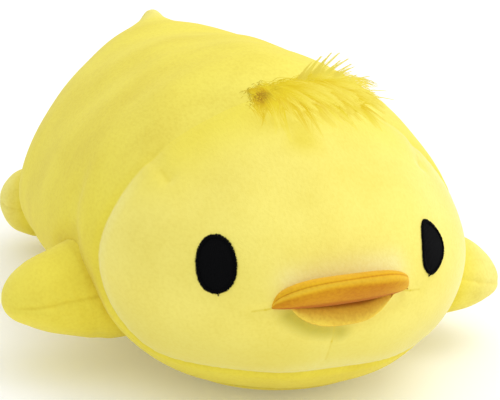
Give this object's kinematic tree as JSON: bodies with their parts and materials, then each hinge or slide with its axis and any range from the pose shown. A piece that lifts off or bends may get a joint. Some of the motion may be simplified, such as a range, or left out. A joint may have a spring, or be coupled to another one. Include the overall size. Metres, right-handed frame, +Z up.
{
  "type": "plush chick",
  "caption": "Stuffed toy chick lying flat on its belly, with plump wings and feet sewn to its sides, a padded beak, embroidered eyes and a fur tuft on the crown.",
  "frame": {"origin": "on the resting plane, under the middle of the toy's box", "axes": "+Z up, -Y towards the beak, +X towards the toy's left wing"},
  "size_m": [0.3038, 0.4542, 0.1798],
  "materials": {
    "face_cloth": "short-pile plush, pale yellow",
    "body_cloth": "short-pile plush, deeper yellow",
    "beak_cloth": "short-pile plush, orange",
    "fibre_fill": "loose polyester fibre, white",
    "eye_thread": "satin-stitch embroidery thread, black",
    "fur_pile": "long fur pile, deep yellow",
    "fur_backing": "knitted backing, brown-gold"
  },
  "bodies": {
    "body": {"face_panel": "face_cloth", "body_panel": "body_cloth", "belly_panel": "body_cloth", "body_fill": "fibre_fill", "beak_upper_top": "beak_cloth", "beak_upper_lining": "beak_cloth", "beak_upper_fill": "fibre_fill", "beak_lower_lining": "beak_cloth", "beak_lower_under": "beak_cloth", "beak_lower_fill": "fibre_fill", "eye_left": "eye_thread", "eye_right": "eye_thread", "tuft_backing": "fur_backing", "tuft_pile": "fur_pile"},
    "wing_left": {"wing_left_upper": "body_cloth", "wing_left_lower": "body_cloth", "wing_left_fill": "fibre_fill"},
    "wing_right": {"wing_right_upper": "body_cloth", "wing_right_lower": "body_cloth", "wing_right_fill": "fibre_fill"},
    "foot_left": {"foot_left_upper": "body_cloth", "foot_left_sole": "body_cloth", "foot_left_fill": "fibre_fill"},
    "foot_right": {"foot_right_upper": "body_cloth", "foot_right_sole": "body_cloth", "foot_right_fill": "fibre_fill"}
  },
  "joints": [
    {"name": "wing_left_lift", "type": "hinge", "parent": "body", "child": "wing_left", "pos_m": [0.10854, -0.06494, 0.047], "axis": [0, -1, 0], "range_deg": [-10, 25], "stiffness_Nm_per_rad": 0.3},
    {"name": "wing_right_lift", "type": "hinge", "parent": "body", "child": "wing_right", "pos_m": [-0.10854, -0.06494, 0.047], "axis": [0, 1, 0], "range_deg": [-10, 25], "stiffness_Nm_per_rad": 0.3},
    {"name": "foot_left_lift", "type": "hinge", "parent": "body", "child": "foot_left", "pos_m": [0.08741, 0.14706, 0.033], "axis": [0.5, -0.866, 0], "range_deg": [-8, 20], "stiffness_Nm_per_rad": 0.3},
    {"name": "foot_right_lift", "type": "hinge", "parent": "body", "child": "foot_right", "pos_m": [-0.08741, 0.14706, 0.033], "axis": [0.5, 0.866, 0], "range_deg": [-8, 20], "stiffness_Nm_per_rad": 0.3}
  ]
}
